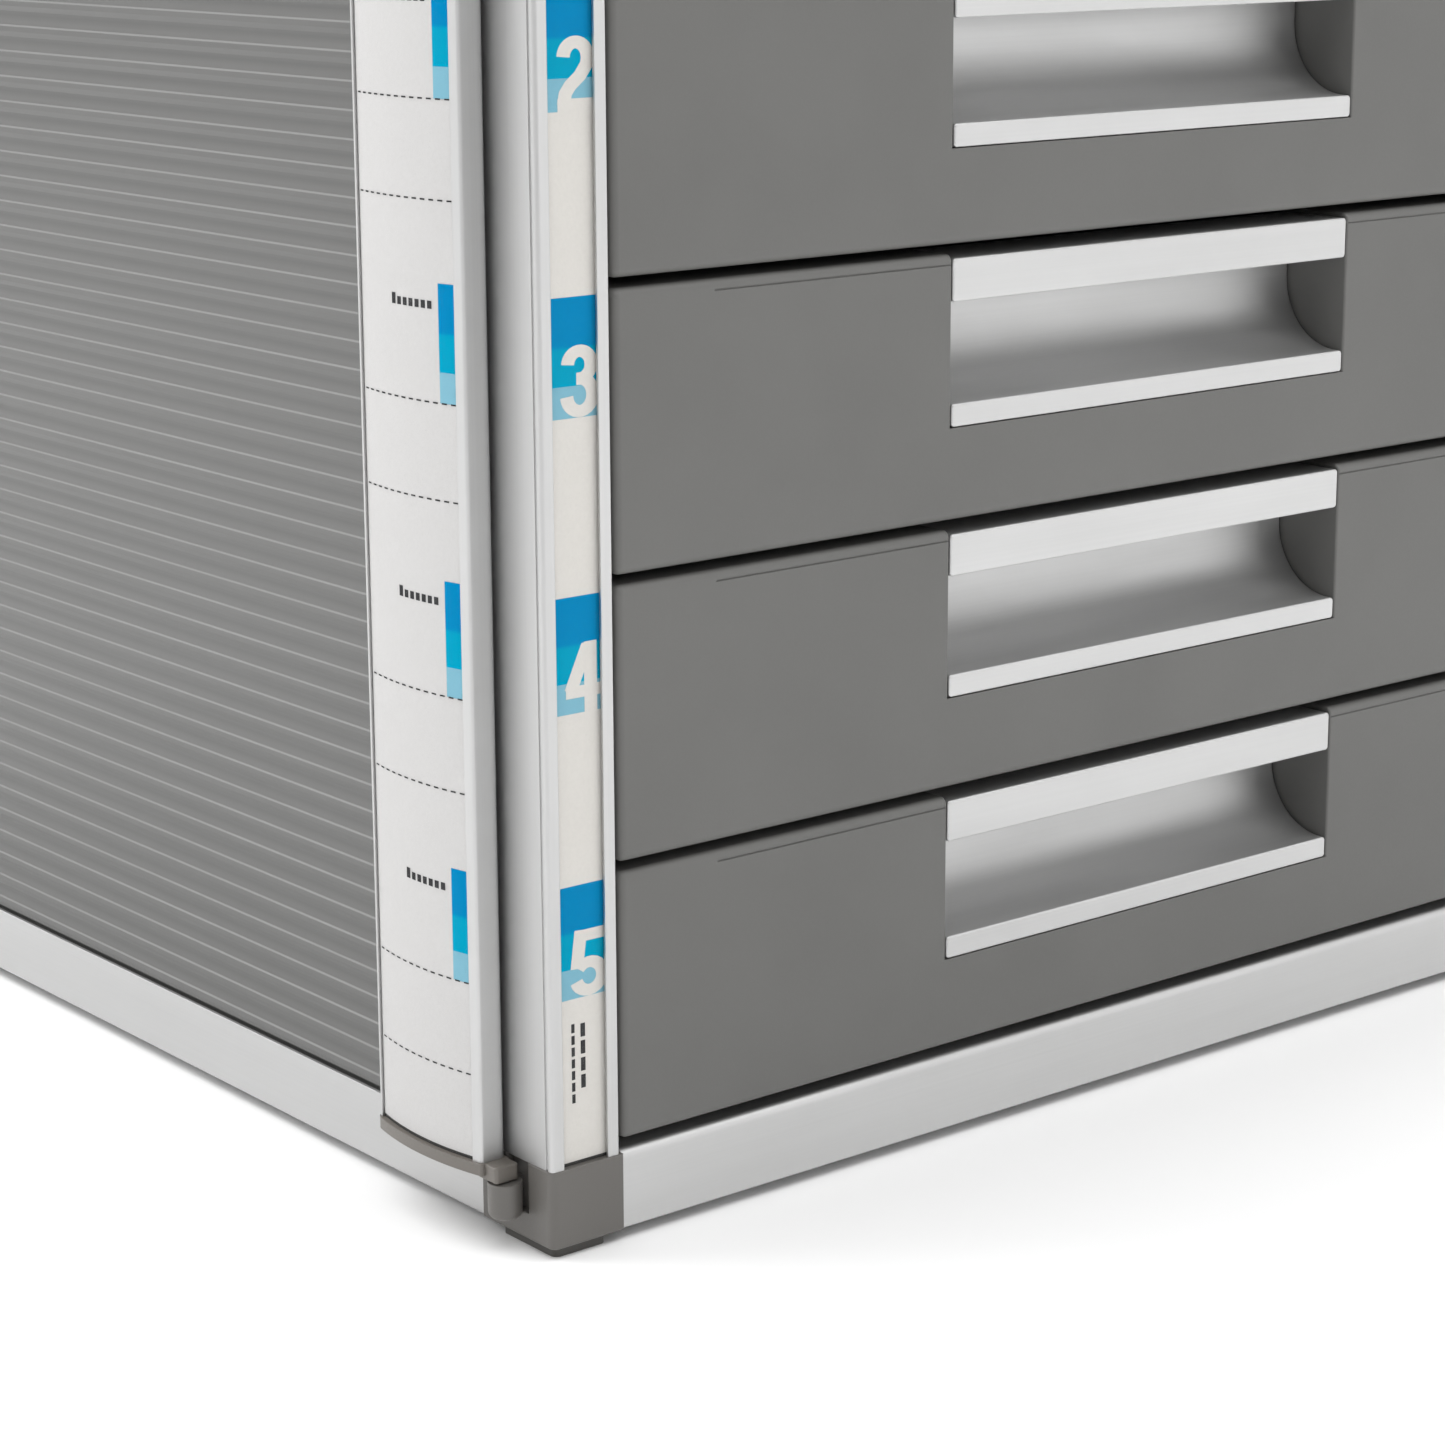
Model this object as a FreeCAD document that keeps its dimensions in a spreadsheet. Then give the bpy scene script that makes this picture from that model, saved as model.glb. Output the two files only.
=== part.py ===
import FreeCAD, Part
import os
import re
import Sketcher

# Five-drawer desktop filing cabinet with an aluminium corner-post frame.
# Millimetres, +Z up, +Y towards the back, drawers open towards -Y.
# The origin lies on the floor, below the centre of the outer box, and that
# box includes the index wing folded against the left side.

DRAWERS = (1, 2, 3, 4, 5)          # 1 is the top drawer
LEFT, RIGHT = 1, -1                # sign of the inward X direction
FRONT, REAR = 1, -1                # sign of the inward Y direction
BOTTOM, TOP = 1, -1                # sign of the inward Z direction
SIDES = {"left": LEFT, "right": RIGHT}
ENDS = {"front": FRONT, "rear": REAR}
LEVELS = {"bottom": BOTTOM, "top": TOP}

SIZES = {
    # carcass
    "outer_width": 322,
    "outer_depth": 370,
    "foot_height": 2,
    "foot_width": 12.5,
    "foot_depth": 17.5,
    "foot_inset": 1.2,
    "foot_round": 1.5,
    "block_width": 17,
    "block_depth": 23,
    "block_height": 16,
    "block_proud": 0.3,
    "block_round": 1.8,
    "block_edge": 0.8,
    "seam_round": 0.25,
    "spigot_length": 14,
    "spigot_gap": 0.15,
    "screw_radius": 1.6,
    "screw_head_radius": 3.2,
    "screw_head_height": 2,
    "frame_screw_length": 26,
    "overrun": 1,
    # aluminium extrusions
    "wall": 1.5,
    "post_width": 16,
    "post_depth": 22,
    "post_round": 0.9,
    "lip_outer": 2.9,
    "lip_inner": 2.5,
    "lip_thick": 0.6,
    "channel_depth": 1.6,
    "channel_undercut": 0.7,
    "groove_back": 1.4,
    "groove_width": 0.6,
    "groove_depth": 0.25,
    "rail_height": 16.2,
    "rail_depth": 15,
    "rail_drop": 0.2,
    "rail_round": 1.8,
    "rail_edge": 0.8,
    "rail_lip_drop": 0.9,
    # panels held in slots of the extrusions
    "panel_inset": 0.9,
    "panel_thick": 3,
    "slot_depth": 4.2,
    "slot_gap": 0.1,
    "floor_lip": 1.2,
    "floor_thick": 2.5,
    "rib_pitch": 5.6,
    "rib_first": 1.7,
    "rib_fall": 1.1,
    "rib_crest": 1.1,
    "rib_rise": 0.4,
    "rib_height": 0.3,
    "rib_end_gap": 0.5,
    "shade_reach": 0.6,
    "shade_depth": 1.5,
    "tongue_gap": 1.3,
    "notch_gap": 2,
    # drawers
    "drawer_count": 5,
    "drawer_pitch": 56,
    "drawer_travel": 240,
    "front_gap": 2,
    "rail_gap": 2.2,
    "side_gap": 1.2,
    "front_depth": 20,
    "front_skin": 3,
    "front_wall": 2.2,
    "front_corner": 1.5,
    "front_edge": 1.6,
    "notch_edge": 0.5,
    "relief_start": 24,
    "relief_drop": 1.9,
    "relief_width": 0.3,
    "relief_depth": 0.2,
    "boss_radius": 3.6,
    "boss_offset": 100,
    "boss_height": 24,
    "front_screw_radius": 1.5,
    "front_screw_length": 12,
    "tray_half": 138.5,
    "tray_length": 315,
    "tray_low": 2.5,
    "tray_high": 47,
    "tray_wall": 2,
    "tray_round": 8,
    "tray_edge": 3.5,
    "flange_reach": 4.5,
    "flange_thick": 2,
    "nub_length": 5,
    "nub_height": 2,
    "nub_width": 3,
    # inner liners with the runner ledges
    "liner_thick": 2,
    "ledge_reach": 5.4,
    "ledge_thick": 2.5,
    "ledge_gap": 0.3,
    "stop_back": 26,
    "stop_length": 4,
    "stop_reach": 4,
    "stop_height": 3,
    "stop_lift": 0.6,
    # recessed handles
    "notch_half": 59,
    "handle_half": 58.7,
    "handle_low": 19.1,
    "handle_seam": 0.15,
    "handle_high": 53.1,
    "handle_depth": 16.5,
    "handle_sheet": 1.2,
    "lip_height": 4.7,
    "brow_height": 8.7,
    "brow_thick": 1.5,
    "handle_corner": 0.8,
    "handle_edge": 0.4,
    # number card in the left front post
    "card_thick": 0.35,
    "cover_thick": 0.4,
    "card_play": 0.1,
    "card_clear": 0.1,
    "card_end_gap": 0.7,
    "cover_end_gap": 0.4,
    # index wing, from its hinge axis
    "hinge_out": 3.3,
    "hinge_back": 11.1,
    "pin_radius": 0.95,
    "pin_gap": 0.07,
    "pin_cap": 0.7,
    "knuckle_radius": 3.4,
    "knuckle_low": 4.6,
    "knuckle_gap": 0.3,
    "knuckle_round": 1.6,
    "web_start": 0.3,
    "web_width": 2.6,
    "pocket_front": 7.5,
    "pocket_rear": 14.4,
    "pocket_depth": 1.2,
    "pocket_low": 4.2,
    "sill_height": 1.4,
    "sill_lift": 0.3,
    "wing_clear": 0.9,
    "wing_drop": 0.3,
    "wing_start": 2.5,
    "wing_chord": 35.5,
    "wing_edge_thick": 6,
    "wing_crown": 2.2,
    "wing_lip_front": 2.3,
    "wing_lip_rear": 1.5,
    "wing_recess": 0.9,
    "wing_sheet": 1.2,
    "wing_web_front": 3,
    "wing_web_rear": 1.4,
    "wing_round_front": 0.7,
    "wing_nose_round": 1.8,
    "wing_round_rear": 1.2,
    "cap_round_rear": 3,
    "cap_proud": 0.5,
    "cap_thick": 2.4,
    "tab_front": 1.6,
    "tab_outer": 3.2,
    "tab_inner": 2.2,
    "tab_height": 3.3,
    "tab_round": 0.7,
    "tab_edge": 0.3,
    "plug_length": 8,
    "plug_thick": 2.4,
    "plug_inset": 4,
}

DERIVED = {
    "half_width": "outer_width / 2",
    "opening_half": "half_width - post_width",
    "rail_low": "foot_height + rail_drop",
    "rail_high": "rail_low + rail_height",
    "stack_low": "rail_high + rail_gap",
    "stack_high": "stack_low + drawer_count * drawer_pitch - front_gap",
    "upper_rail_low": "stack_high + rail_gap",
    "total_height": "upper_rail_low + rail_height + rail_drop",
    "post_low": "foot_height + block_height",
    "post_high": "total_height - block_height",
    "cavity_front": "channel_depth + wall",
    "screw_from_side": "(wall + cavity_inner) / 2",
    "screw_from_end": "(cavity_front + cavity_rear) / 2",
    "cavity_rear": "post_depth - slot_depth - wall",
    "cavity_inner": "post_width - slot_depth - wall",
    "rail_cavity_deep": "rail_depth - slot_depth - wall",
    "rail_cavity_high": "rail_height - slot_depth - wall",
    "panel_back": "panel_inset + panel_thick",
    "slot_front": "panel_inset - slot_gap",
    "slot_back": "panel_back + slot_gap",
    "front_half": "opening_half - side_gap",
    "front_height": "drawer_pitch - front_gap",
    "tray_front": "front_depth",
    "tray_rear": "tray_front + tray_length",
    "ledge_high": "tray_high - flange_thick - ledge_gap",
    "nub_front": "stop_back + stop_length + card_play + drawer_travel",
    "hinge_x": "-(half_width + hinge_out)",
    "wing_inner": "hinge_out - wing_clear",
    "wing_edge": "wing_inner - wing_edge_thick",
    "wing_end": "wing_start + wing_chord",
    "wing_middle": "wing_start + wing_chord / 2",
    "wing_radius": "(wing_chord^2 / 4 + wing_crown^2) / (2 * wing_crown)",
    "wing_axis": "wing_edge - wing_crown + wing_radius",
    "wing_low": "post_low - wing_drop",
    "wing_high": "post_high + wing_drop",
    "card_front": "wing_start + wing_lip_front",
    "card_rear": "wing_end - wing_lip_rear",
    "wing_reach": "hinge_out - wing_edge + wing_crown + cap_proud",
    "shift_x": "(wing_reach - block_proud) / 2",
    "shift_y": "-outer_depth / 2",
}

doc = FreeCAD.newDocument("filing_cabinet")
sheet = doc.addObject("Spreadsheet::Sheet", "Sizes")


def fill_sheet():
    """Write every size to the sheet: plain numbers first, then what follows from them."""
    formulas = {name: "=" + text for name, text in DERIVED.items()}
    for row, (name, content) in enumerate({**SIZES, **formulas}.items(), start=1):
        sheet.set(f"A{row}", name)
        sheet.set(f"B{row}", str(content))
        sheet.setAlias(f"B{row}", name)
    doc.recompute()


def value(text):
    """The number that a formula of sheet names stands for."""
    return float(sheet.evalExpression(text))


def linked(text):
    """The same formula with its names pointing at the sheet."""
    return re.sub(r"[a-z_]{3,}", lambda word: "Sizes." + word.group(0), text)


def bind(item, **formulas):
    for name, text in formulas.items():
        item.setExpression(name, linked(text))


def set_base(item, x, y, z):
    for letter, text in zip("xyz", (x, y, z)):
        item.setExpression(f".Placement.Base.{letter}", linked(text))


def place(item, x="0", y="0", z="0"):
    """Stand a finished sub-part in the cabinet: X from its middle, Y from its front, Z from the floor."""
    set_base(item, f"shift_x + {x}", f"shift_y + {y}", z)
    return item


def signed(sign, low, high):
    """A span counted from an outer face inwards, as low and high coordinates."""
    if sign > 0:
        return low, high
    return f"-({high})", f"-({low})"


# ---------------------------------------------------------------- features

def new_body(name):
    body = doc.addObject("PartDesign::Body", name)
    body.Label = name
    return body


def box(body, x, y, z, kind="Additive"):
    """A block or a rectangular cut-out of a body, from three (low, high) spans."""
    item = body.newObject(f"PartDesign::{kind}Box", "Block")
    spans = zip(("Length", "Width", "Height"), (x, y, z))
    bind(item, **{size: f"({high}) - ({low})" for size, (low, high) in spans})
    set_base(item, x[0], y[0], z[0])
    return item


def cylinder(body, centre, radius, height, kind="Additive", along_y=False):
    """A round post or hole that rises from centre, or runs towards +Y."""
    item = body.newObject(f"PartDesign::{kind}Cylinder", "Round")
    bind(item, Radius=radius, Height=height)
    if along_y:
        item.Placement.Rotation = FreeCAD.Rotation(FreeCAD.Vector(1, 0, 0), -90)
    set_base(item, *centre)
    return item


def arc_between(start, end, radius, turn):
    """The short arc from start to end; turn is 1 when it runs anticlockwise."""
    chord = end - start
    middle = (start + end) / 2
    rise = max(radius ** 2 - (chord.Length / 2) ** 2, 0) ** 0.5
    across = FreeCAD.Vector(-chord.y, chord.x, 0).normalize()
    centre = middle + across * rise * turn
    circle = Part.Circle(centre, FreeCAD.Vector(0, 0, 1), radius)
    first, last = (start, end) if turn > 0 else (end, start)
    return Part.ArcOfCircle(circle, circle.parameter(first), circle.parameter(last))


def draw_loop(sketch, corners, arcs=None):
    """Add a closed outline. arcs maps an edge's number to its (radius, turn)."""
    arcs = arcs or {}
    points = [FreeCAD.Vector(value(x), value(y), 0) for x, y in corners]
    count = len(points)
    edges = []
    for index in range(count):
        start, end = points[index], points[(index + 1) % count]
        if index in arcs:
            radius, turn = arcs[index]
            number = sketch.addGeometry(arc_between(start, end, value(radius), turn))
            edges.append((number, 1, 2) if turn > 0 else (number, 2, 1))
            key = sketch.addConstraint(Sketcher.Constraint("Radius", number, value(radius)))
            sketch.setExpression(f"Constraints[{key}]", linked(radius))
        else:
            edges.append((sketch.addGeometry(Part.LineSegment(start, end)), 1, 2))
    for index in range(count):
        edge, following = edges[index], edges[(index + 1) % count]
        joint = Sketcher.Constraint("Coincident", edge[0], edge[2], following[0], following[1])
        sketch.addConstraint(joint)
    for edge, corner, point in zip(edges, corners, points):
        for way, text, number in zip("XY", corner, (point.x, point.y)):
            fixed = Sketcher.Constraint(f"Distance{way}", -1, 1, edge[0], edge[1], number)
            key = sketch.addConstraint(fixed)
            sketch.setExpression(f"Constraints[{key}]", linked(text))


def new_sketch(body, plane, loops):
    """A sketch on one of the body's own planes; each loop is (corners, arcs)."""
    sketch = body.newObject("Sketcher::SketchObject", "Outline")
    support = [item for item in body.Origin.OriginFeatures if item.Role == plane]
    sketch.AttachmentSupport = (support[0], [""])
    sketch.MapMode = "FlatFace"
    for corners, arcs in loops:
        draw_loop(sketch, corners, arcs)
    return sketch


def pad(body, plane, loops, length):
    """Extrude the loops along the plane's positive axis."""
    item = body.newObject("PartDesign::Pad", "Pad")
    item.Profile = new_sketch(body, plane, loops)
    item.Reversed = plane == "XZ_Plane"
    bind(item, Length=length)
    return item


def round_edges(body, radius, *places):
    """Fillet the edges that lie on all the planes of a place, such as {"x": "0", "y": "wall"}."""
    doc.recompute()
    base = body.Tip
    targets = [{axis: value(text) for axis, text in planes.items()} for planes in places]
    names = []
    for number, edge in enumerate(base.Shape.Edges, start=1):
        span = edge.BoundBox
        reach = {"x": (span.XMin, span.XMax), "y": (span.YMin, span.YMax), "z": (span.ZMin, span.ZMax)}
        for target in targets:
            if all(max(abs(end - target[axis]) for end in reach[axis]) < 0.01 for axis in target):
                names.append(f"Edge{number}")
    item = body.newObject("PartDesign::Fillet", "Round")
    item.Base = (base, sorted(set(names)))
    bind(item, Radius=radius)
    return item


def gather(name, items):
    """One node of several separate solids."""
    group = doc.addObject("Part::Compound", name)
    group.Label = name
    group.Links = items
    return group


# ---------------------------------------------------------------- frame

def post(side_name, end_name):
    """A corner post: slotted for the panels, and at the front with a card channel and a shadow groove."""
    side, end = SIDES[side_name], ENDS[end_name]
    body = new_body(f"post_{end_name}_{side_name}")
    channel_low = "lip_outer - channel_undercut"
    channel_high = "post_width - lip_inner + channel_undercut"
    if end == FRONT:
        face = [
            ("0", "0"), ("lip_outer", "0"), ("lip_outer", "lip_thick"), (channel_low, "lip_thick"),
            (channel_low, "channel_depth"), (channel_high, "channel_depth"), (channel_high, "lip_thick"),
            ("post_width - lip_inner", "lip_thick"), ("post_width - lip_inner", "0"), ("post_width", "0"),
        ]
        outside = [
            ("0", "groove_back + groove_width"), ("groove_depth", "groove_back + groove_width"),
            ("groove_depth", "groove_back"), ("0", "groove_back"),
        ]
    else:
        bed = "post_width - slot_depth"
        face = [
            ("0", "0"), ("post_width", "0"), ("post_width", "slot_front"), (bed, "slot_front"),
            (bed, "slot_back"), ("post_width", "slot_back"),
        ]
        outside = []
    bed = "post_depth - slot_depth"
    back = [
        ("post_width", "post_depth"), ("slot_back", "post_depth"), ("slot_back", bed),
        ("slot_front", bed), ("slot_front", "post_depth"), ("0", "post_depth"),
    ]
    outline = face + back + outside
    cavity = [
        ("wall", "cavity_front"), ("cavity_inner", "cavity_front"),
        ("cavity_inner", "cavity_rear"), ("wall", "cavity_rear"),
    ]
    loops = [([(f"{side} * ({x})", f"{end} * ({y})") for x, y in loop], None) for loop in (outline, cavity)]
    pad(body, "XY_Plane", loops, "post_high - post_low")
    round_edges(body, "post_round", {"x": "0", "y": "0"})
    start_y = "0" if end == FRONT else "outer_depth"
    return place(body, f"{-side} * half_width", start_y, "post_low")


def rail_loops(sign, level, upright_slot):
    """Section of a rail, counted inwards from its outer face and its outer edge."""
    bed = "rail_depth - slot_depth"
    roof = "floor_lip + floor_thick + slot_gap"
    outline = [
        ("0", "0"), ("rail_depth", "0"), ("rail_depth", "floor_lip"), (bed, "floor_lip"),
        (bed, roof), ("rail_depth", roof), ("rail_depth", "rail_height"),
    ]
    outer_high = "rail_height"
    if upright_slot:
        bed = "rail_height - slot_depth"
        outer_high = "rail_height - rail_lip_drop"
        outline += [
            ("slot_back", "rail_height"), ("slot_back", bed),
            ("slot_front", bed), ("slot_front", outer_high),
        ]
    outline.append(("0", outer_high))
    cavity = [
        ("wall", "wall"), ("rail_cavity_deep", "wall"),
        ("rail_cavity_deep", "rail_cavity_high"), ("wall", "rail_cavity_high"),
    ]
    return [([(f"{sign} * ({x})", f"{level} * ({z})") for x, z in loop], None) for loop in (outline, cavity)]


def rail_height_at(level):
    return "rail_low" if level == BOTTOM else "total_height - rail_drop"


def cross_rail(level_name, end_name):
    """A front or rear rail between two corner blocks."""
    level, end = LEVELS[level_name], ENDS[end_name]
    body = new_body(f"rail_{level_name}_{end_name}")
    pad(body, "YZ_Plane", rail_loops(end, level, end == REAR), "outer_width - 2 * block_width")
    inner_edge = {"y": "0", "z": f"{level} * rail_height"}
    outer_edge = {"y": "0", "z": "0"}
    if end == FRONT:
        round_edges(body, "rail_round", inner_edge)
    round_edges(body, "rail_edge", outer_edge)
    start_y = "0" if end == FRONT else "outer_depth"
    return place(body, "block_width - half_width", start_y, rail_height_at(level))


def side_rail(level_name, side_name):
    """A side rail between the front and the rear corner block."""
    level, side = LEVELS[level_name], SIDES[side_name]
    body = new_body(f"rail_{level_name}_{side_name}")
    pad(body, "XZ_Plane", rail_loops(side, level, True), "outer_depth - 2 * block_depth")
    round_edges(body, "rail_edge", {"x": "0", "z": "0"})
    return place(body, f"{-side} * half_width", "block_depth", rail_height_at(level))


def carry_hinge(body, level):
    """Cut a clearance pocket into a left front block and stand the hinge knuckle in it."""
    knuckle_high = "block_height - wing_drop - tab_height - knuckle_gap"
    pocket_y = ("pocket_front", "pocket_rear")
    pocket_z = signed(level, "pocket_low", "block_height + overrun")
    box(body, ("-overrun", "pocket_depth"), pocket_y, pocket_z, "Subtractive")
    low, high = signed(level, "knuckle_low", knuckle_high)
    cylinder(body, ("-hinge_out", "hinge_back", low), "knuckle_radius", f"({high}) - ({low})")
    round_edges(body, "knuckle_round", {"z": f"{level} * knuckle_low"})
    into_block = "pocket_depth + overrun"
    web_y = ("hinge_back + web_start", "hinge_back + web_start + web_width")
    box(body, ("-hinge_out", into_block), web_y, signed(level, "knuckle_low + knuckle_round", knuckle_high))
    sill_high = "pocket_low + sill_height"
    box(body, ("-block_proud", into_block), pocket_y, signed(level, "pocket_low", sill_high))
    foot_y = ("hinge_back - web_width / 2", "hinge_back + web_width / 2")
    box(body, ("-hinge_out", into_block), foot_y, signed(level, "knuckle_low + sill_lift", sill_high))
    low, high = signed(level, "knuckle_low + pin_cap", "block_height")
    cylinder(body, ("-hinge_out", "hinge_back", low), "pin_radius", f"({high}) - ({low})", "Subtractive")


def corner_block(level_name, end_name, side_name):
    """A moulded corner with one spigot for each extrusion that meets there."""
    level, end, side = LEVELS[level_name], ENDS[end_name], SIDES[side_name]
    body = new_body(f"corner_{level_name}_{end_name}_{side_name}")
    block_x = signed(side, "-block_proud", "block_width")
    block_y = signed(end, "-block_proud", "block_depth")
    box(body, block_x, block_y, signed(level, "0", "block_height"))
    face_x, face_y = f"{-side} * block_proud", f"{-end} * block_proud"
    round_edges(body, "block_round", {"x": face_x, "y": face_y})
    round_edges(body, "block_edge", {"x": face_x, "z": "0"}, {"y": face_y, "z": "0"})
    seam_z = f"{level} * block_height"
    seams = [
        {"x": face_x, "z": seam_z}, {"y": face_y, "z": seam_z},
        {"x": face_x, "y": f"{end} * block_depth"}, {"y": face_y, "x": f"{side} * block_width"},
    ]
    round_edges(body, "seam_round", *seams)

    def spigot(x, y, z):
        box(body, signed(side, *x), signed(end, *y), signed(level, *z))

    def inside(low, high):
        return f"{low} + spigot_gap", f"{high} - spigot_gap"

    def out_of(face):
        return f"{face} - overrun", f"{face} + spigot_length"

    rail_y = inside("wall", "rail_cavity_deep")
    rail_z = inside("rail_drop + wall", "rail_drop + rail_cavity_high")
    spigot(inside("wall", "cavity_inner"), inside("cavity_front", "cavity_rear"), out_of("block_height"))
    spigot(out_of("block_width"), rail_y, rail_z)
    spigot(rail_y, out_of("block_depth"), rail_z)
    if level == BOTTOM:
        seat = (f"{side} * screw_from_side", f"{end} * screw_from_end", "0")
        cylinder(body, seat, "screw_radius", "frame_screw_length", "Subtractive")
        cylinder(body, seat, "screw_head_radius", "screw_head_height", "Subtractive")
    if end == FRONT and side == LEFT:
        carry_hinge(body, level)
    start_y = "0" if end == FRONT else "outer_depth"
    start_z = "foot_height" if level == BOTTOM else "total_height"
    return place(body, f"{-side} * half_width", start_y, start_z)


def at_corners(make):
    """Call make for the four corners of the floor plan and keep what it returns."""
    return [make(side, end) for side in SIDES.values() for end in ENDS.values()]


def foot_pad(side, end):
    body = doc.addObject("PartDesign::Body", "Pad")
    reach_x = signed(side, "foot_inset", "foot_inset + foot_width")
    reach_y = signed(end, "foot_inset", "foot_inset + foot_depth")
    box(body, reach_x, reach_y, ("0", "foot_height"))
    corners = [{"x": x, "y": y} for x in reach_x for y in reach_y]
    round_edges(body, "foot_round", *corners)
    return place(body, f"{-side} * half_width", "0" if end == FRONT else "outer_depth")


def frame_screw(side, end):
    """A screw that draws a bottom block and its post together, under the foot pad."""
    body = doc.addObject("PartDesign::Body", "Screw")
    cylinder(body, ("0", "0", "0"), "screw_head_radius", "screw_head_height")
    cylinder(body, ("0", "0", "0"), "screw_radius", "frame_screw_length")
    y = "screw_from_end" if end == FRONT else "outer_depth - screw_from_end"
    return place(body, f"{side} * (screw_from_side - half_width)", y, "foot_height")


# ---------------------------------------------------------------- panels

def ribbed_panel(name, run, sign, start, stop):
    """Twin-wall sheet in the slots of posts and rails; its ribs run level on the outer face.

    run is the horizontal axis of the sheet, sign the inward direction across it,
    start and stop the distances of its upright edges from the carcass's outer faces.
    """
    body = new_body(name)
    lip = "(slot_depth - slot_gap)"
    low, high = f"rail_high - {lip}", f"upper_rail_low + {lip}"
    across = signed(sign, "panel_inset", "panel_back")
    spans = [
        ((start, stop), ("post_low + slot_gap", "post_high - slot_gap")),
        ((f"{start} + {lip} + tongue_gap", f"{stop} - {lip} - tongue_gap"), (low, high)),
    ]
    for along, up in spans:
        box(body, *((along, across, up) if run == "x" else (across, along, up)))
    groove = signed(sign, "panel_inset - overrun", "panel_inset + shade_depth")
    reach = "rail_lip_drop + shade_reach"
    for up in ((f"rail_high - ({reach})", "rail_high"), ("upper_rail_low", f"upper_rail_low + {reach}")):
        along = (f"{start} - overrun", f"{stop} + overrun")
        box(body, *((along, groove, up) if run == "x" else (groove, along, up)), "Subtractive")
    face = f"{sign} * panel_inset"
    crest = f"{sign} * (panel_inset - rib_height)"
    first = "rail_high + rib_first"
    rib = [
        (face, f"{first} - rib_crest / 2 - rib_fall"), (face, f"{first} + rib_crest / 2 + rib_rise"),
        (crest, f"{first} + rib_crest / 2"), (crest, f"{first} - rib_crest / 2"),
    ]
    plane = "YZ_Plane" if run == "x" else "XZ_Plane"
    ridge = pad(body, plane, [(rib, None)], f"({stop}) - ({start}) - 2 * ({lip} + rib_end_gap)")
    doc.recompute()
    shift = f"({start}) + {lip} + rib_end_gap"
    axis = ".AttachmentOffset.Base.z"
    ridge.Profile[0].setExpression(axis, linked(shift if run == "x" else f"-({shift})"))
    repeat = body.newObject("PartDesign::LinearPattern", "Ribs")
    repeat.Originals = [ridge]
    up = [item for item in body.Origin.OriginFeatures if item.Role == "Z_Axis"]
    repeat.Direction = (up[0], [""])
    count = 1 + int(value(f"(upper_rail_low - ({first}) - rib_crest / 2 - rib_rise) / rib_pitch"))
    repeat.Occurrences = count
    bind(repeat, Length=f"{count - 1} * rib_pitch")
    body.Tip = repeat
    return body


def side_panel(side_name):
    side = SIDES[side_name]
    edge = "post_depth - slot_depth + slot_gap"
    panel = ribbed_panel(f"side_panel_{side_name}", "y", side, edge, f"outer_depth - ({edge})")
    return place(panel, f"{-side} * half_width")


def rear_panel():
    edge = "post_width - slot_depth + slot_gap"
    panel = ribbed_panel("rear_panel", "x", REAR, edge, f"outer_width - ({edge})")
    return place(panel, "-half_width", "outer_depth")


def level_panel(name, level):
    """The floor or the roof sheet, notched at the corners round blocks and posts."""
    body = new_body(name)
    reach_x = "half_width - rail_depth + slot_depth - slot_gap"
    near_y = "rail_depth - slot_depth + slot_gap"
    up = signed(level, "floor_lip + slot_gap", "floor_lip + floor_thick")
    inner_x = f"({reach_x}) - slot_depth - notch_gap"
    box(body, (f"-({inner_x})", inner_x), (near_y, f"outer_depth - ({near_y})"), up)
    inner_y = "block_depth + spigot_gap"
    box(body, (f"-({reach_x})", reach_x), (inner_y, f"outer_depth - ({inner_y})"), up)
    return place(body, z=rail_height_at(level))


def drawer_low(number):
    """Height of a drawer front's lower edge above the floor."""
    return f"stack_low + (drawer_count - {number}) * drawer_pitch"


def liner(side_name):
    """Inner side sheet with one ledge per drawer and the stops that end the drawers' travel."""
    side = SIDES[side_name]
    body = new_body(f"liner_{side_name}")
    face = "post_width"
    depth = ("post_depth", "outer_depth - post_depth")
    height = ("rail_high + slot_gap", "upper_rail_low - slot_gap")
    box(body, signed(side, f"{face} - liner_thick", face), depth, height)
    for number in DRAWERS:
        base = drawer_low(number)
        ledge = (f"{base} + ledge_high - ledge_thick", f"{base} + ledge_high")
        box(body, signed(side, face, f"{face} + ledge_reach"), depth, ledge)
        foot = f"{base} + tray_high + stop_lift"
        box(body, signed(side, face, f"{face} + stop_reach"), ("stop_back", "stop_back + stop_length"),
            (foot, f"{foot} + stop_height"))
    return place(body, f"{-side} * half_width")


# ---------------------------------------------------------------- drawers

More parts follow.
